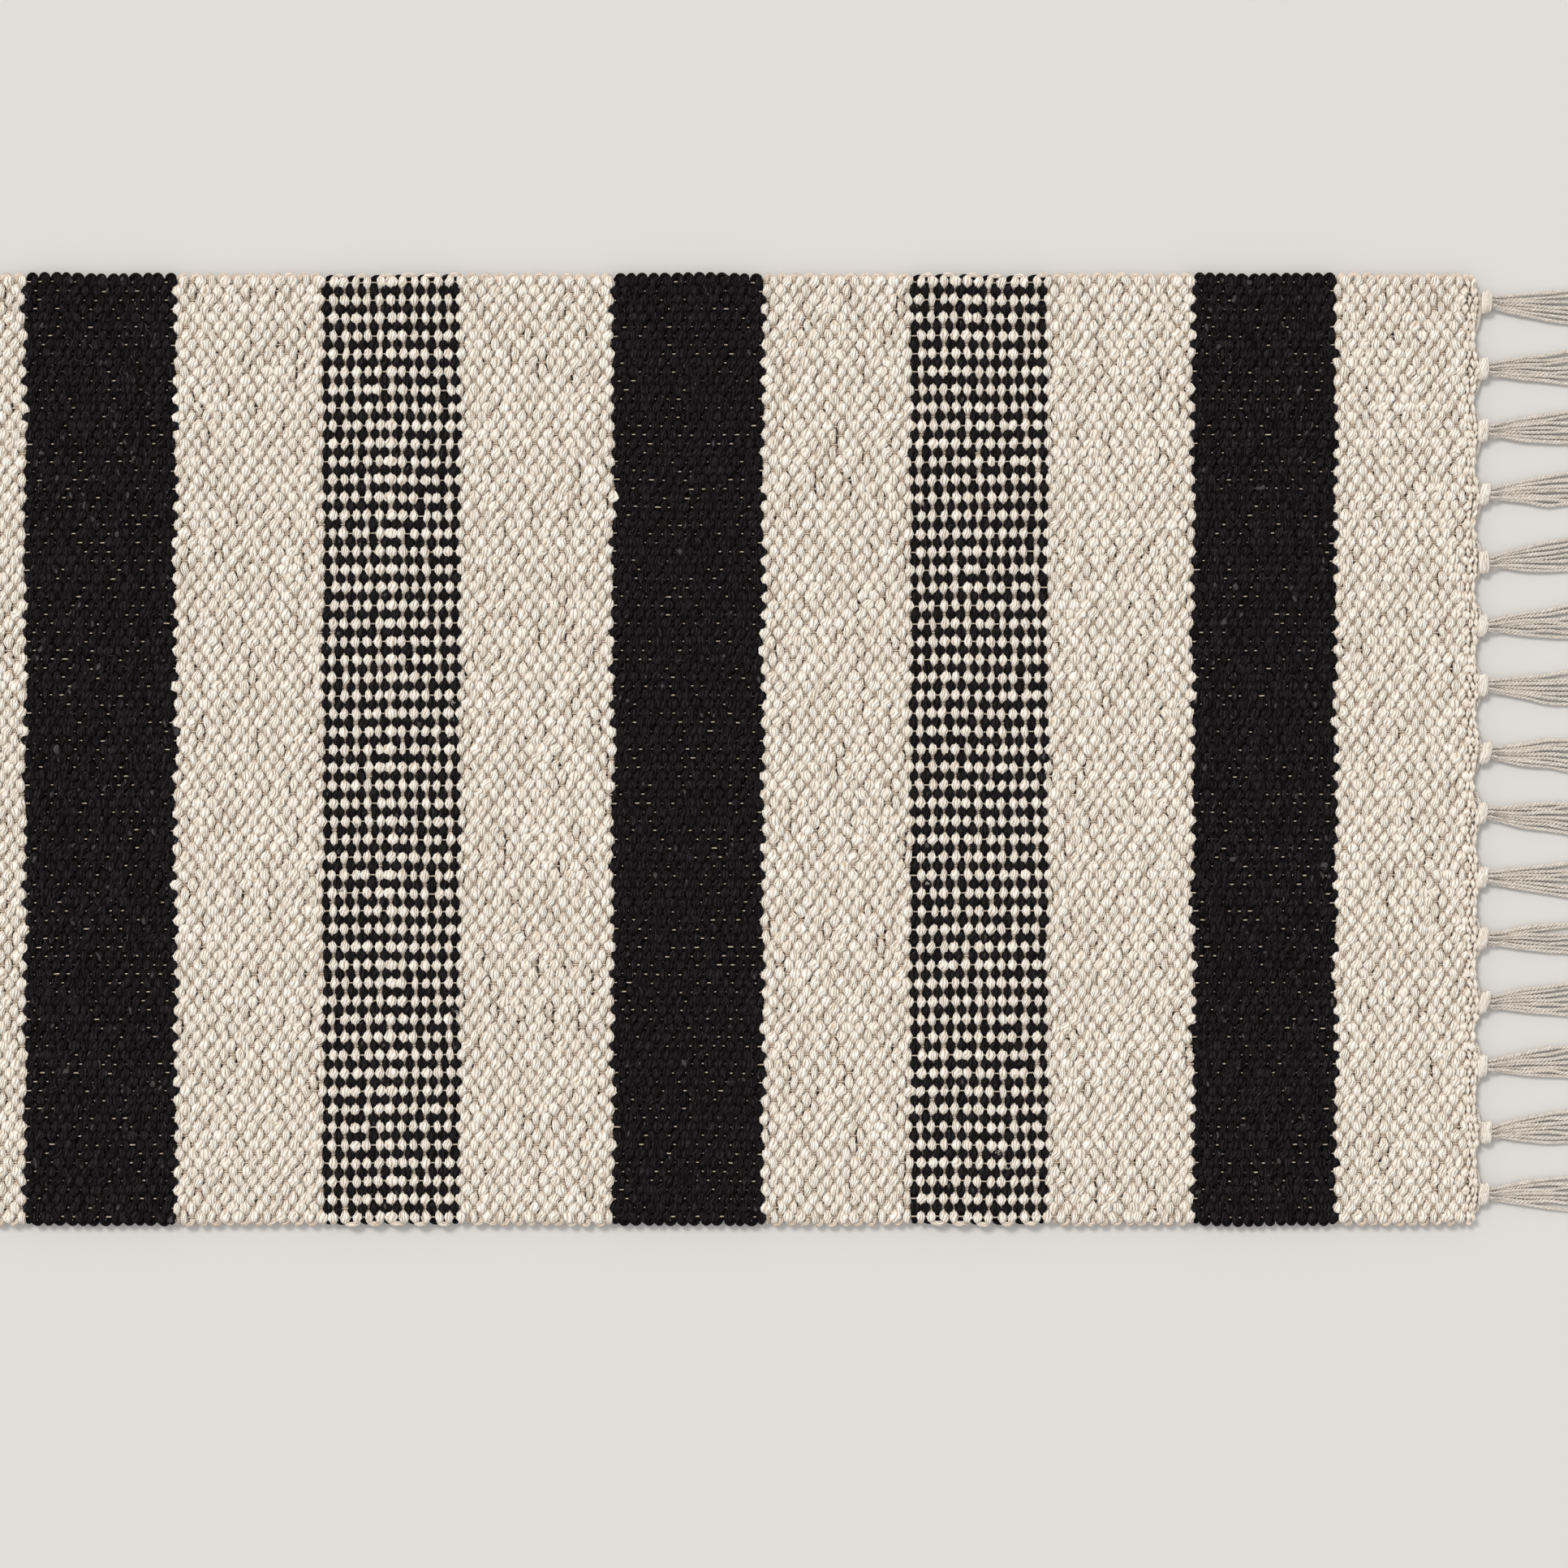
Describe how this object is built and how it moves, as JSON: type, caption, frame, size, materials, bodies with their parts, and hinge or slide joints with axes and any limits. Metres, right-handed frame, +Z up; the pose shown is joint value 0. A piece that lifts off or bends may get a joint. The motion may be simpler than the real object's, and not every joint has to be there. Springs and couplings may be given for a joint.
{
  "type": "runner rug",
  "caption": "Long flat-woven cotton runner rug with cream, black and checked crosswise bands, a fine header and knotted fringe at both ends; its ends fold over.",
  "frame": {"origin": "centre of the rug's underside, on the floor", "axes": "+X along the rug's length, +Y across its width, +Z up from the floor to the top face"},
  "size_m": [2.284, 0.61, 0.009],
  "materials": {
    "cream_weft": "matt, softly twisted undyed cotton yarn",
    "black_weft": "matt, softly twisted black cotton yarn with a few pale fibres",
    "check_weft": "matt black and cream yarns, one pick of each in turn",
    "header_twine": "matt, fine cream cotton twine",
    "warp_cord": "matt plied cream cotton cord",
    "tassel_cord": "matt two-ply cream cotton cord, a little frayed"
  },
  "bodies": {
    "middle": {"band_06_black": "black_weft", "band_07_cream": "cream_weft", "band_08_check": "check_weft", "band_09_cream": "cream_weft", "band_10_black": "black_weft", "band_11_cream": "cream_weft", "band_12_check": "check_weft", "band_13_cream": "cream_weft", "band_14_black": "black_weft", "band_15_cream": "cream_weft", "band_16_check": "check_weft", "band_17_cream": "cream_weft", "band_18_black": "black_weft", "warps_middle": "warp_cord"},
    "left_flap": {"band_01_cream": "cream_weft", "band_02_black": "black_weft", "band_03_cream": "cream_weft", "band_04_check": "check_weft", "band_05_cream": "cream_weft", "warps_left": "warp_cord", "header_left": "header_twine"},
    "right_flap": {"band_19_cream": "cream_weft", "band_20_check": "check_weft", "band_21_cream": "cream_weft", "band_22_black": "black_weft", "band_23_cream": "cream_weft", "warps_right": "warp_cord", "header_right": "header_twine"},
    "fringe_left": {"tassel_left_01": "tassel_cord", "tassel_left_02": "tassel_cord", "tassel_left_03": "tassel_cord", "tassel_left_04": "tassel_cord", "tassel_left_05": "tassel_cord", "tassel_left_06": "tassel_cord", "tassel_left_07": "tassel_cord", "tassel_left_08": "tassel_cord", "tassel_left_09": "tassel_cord", "tassel_left_10": "tassel_cord", "tassel_left_11": "tassel_cord", "tassel_left_12": "tassel_cord", "tassel_left_13": "tassel_cord", "tassel_left_14": "tassel_cord", "tassel_left_15": "tassel_cord"},
    "fringe_right": {"tassel_right_01": "tassel_cord", "tassel_right_02": "tassel_cord", "tassel_right_03": "tassel_cord", "tassel_right_04": "tassel_cord", "tassel_right_05": "tassel_cord", "tassel_right_06": "tassel_cord", "tassel_right_07": "tassel_cord", "tassel_right_08": "tassel_cord", "tassel_right_09": "tassel_cord", "tassel_right_10": "tassel_cord", "tassel_right_11": "tassel_cord", "tassel_right_12": "tassel_cord", "tassel_right_13": "tassel_cord", "tassel_right_14": "tassel_cord", "tassel_right_15": "tassel_cord"}
  },
  "joints": [
    {"name": "fold_left", "type": "hinge", "parent": "middle", "child": "left_flap", "pos_m": [-0.61077, 0, 0.0095], "axis": [0, 1, 0], "range_deg": [0, 180]},
    {"name": "fold_right", "type": "hinge", "parent": "middle", "child": "right_flap", "pos_m": [0.61077, 0, 0.0095], "axis": [0, -1, 0], "range_deg": [0, 180]},
    {"name": "fringe_left_turn", "type": "hinge", "parent": "left_flap", "child": "fringe_left", "pos_m": [-1.067, 0, -0.0003], "axis": [0, 1, 0], "range_deg": [-180, 0]},
    {"name": "fringe_right_turn", "type": "hinge", "parent": "right_flap", "child": "fringe_right", "pos_m": [1.067, 0, -0.0003], "axis": [0, -1, 0], "range_deg": [-180, 0]}
  ]
}
